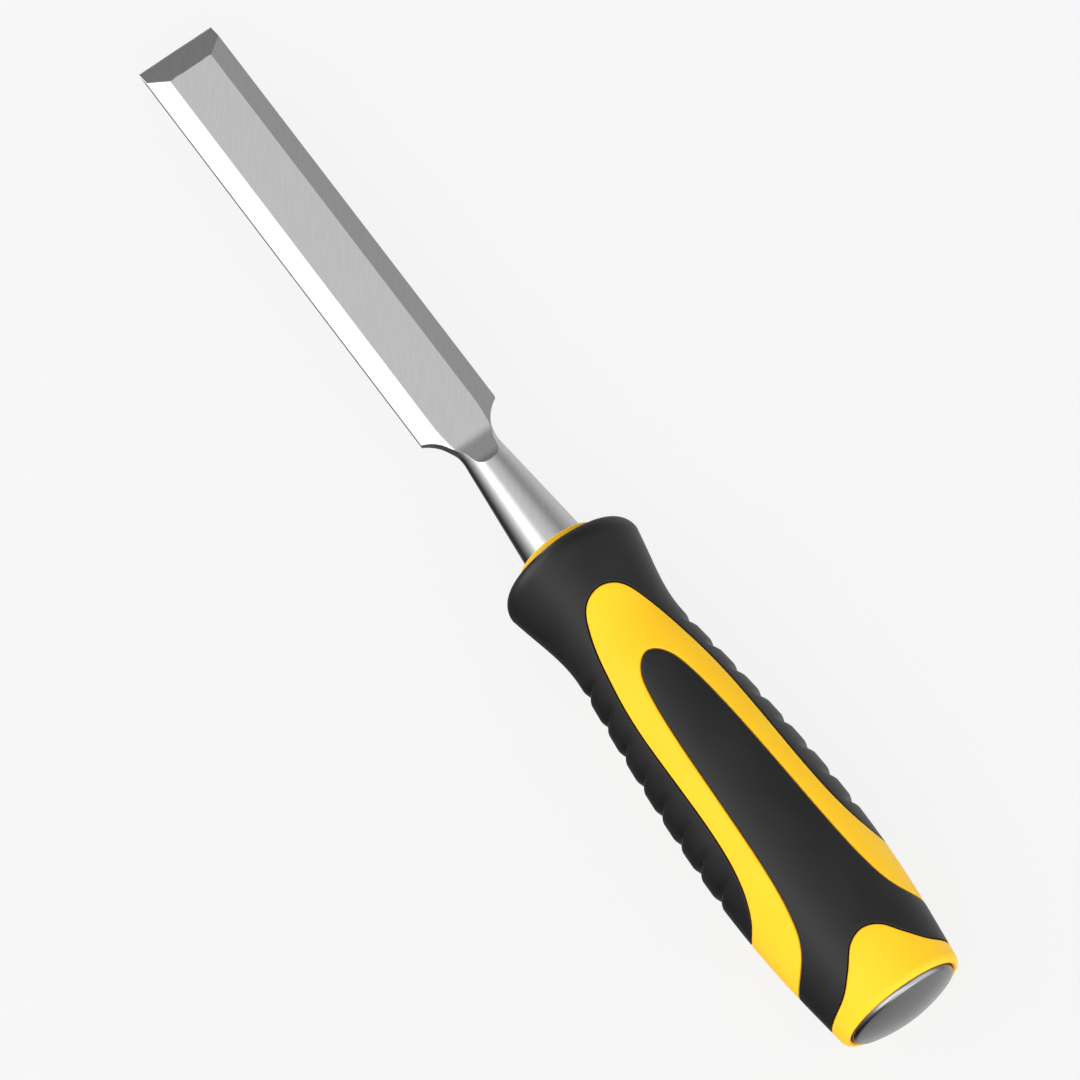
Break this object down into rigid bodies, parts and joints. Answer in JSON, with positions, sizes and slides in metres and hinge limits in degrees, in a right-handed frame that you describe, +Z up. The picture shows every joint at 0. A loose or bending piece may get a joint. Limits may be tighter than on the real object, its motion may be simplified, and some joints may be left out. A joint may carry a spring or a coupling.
{
  "type": "bench chisel",
  "caption": "Bevel-edged wood chisel: straight ground blade, conical shank, swelling two-material handle with ribbed soft panels, and a domed steel strike cap.",
  "frame": {"origin": "under the middle of the chisel's box, at the height of the bench that it lies on", "axes": "+X along the chisel towards its cutting edge, +Z up with the bevelled side of the blade uppermost, +Y across the blade"},
  "size_m": [0.2552, 0.0334, 0.0333],
  "materials": {
    "blade_steel": "bright tool steel, finely ground along its faces, polished on the conical shank",
    "core_plastic": "hard moulded plastic, warm yellow, satin gloss",
    "grip_rubber": "soft moulded rubber, near black, matt with a faint sheen",
    "cap_steel": "turned and polished steel, a little darker than the blade"
  },
  "bodies": {
    "root": {"blade": "blade_steel", "handle_core": "core_plastic", "front_grip": "grip_rubber", "rear_grip": "grip_rubber", "strike_cap": "cap_steel"}
  },
  "joints": []
}
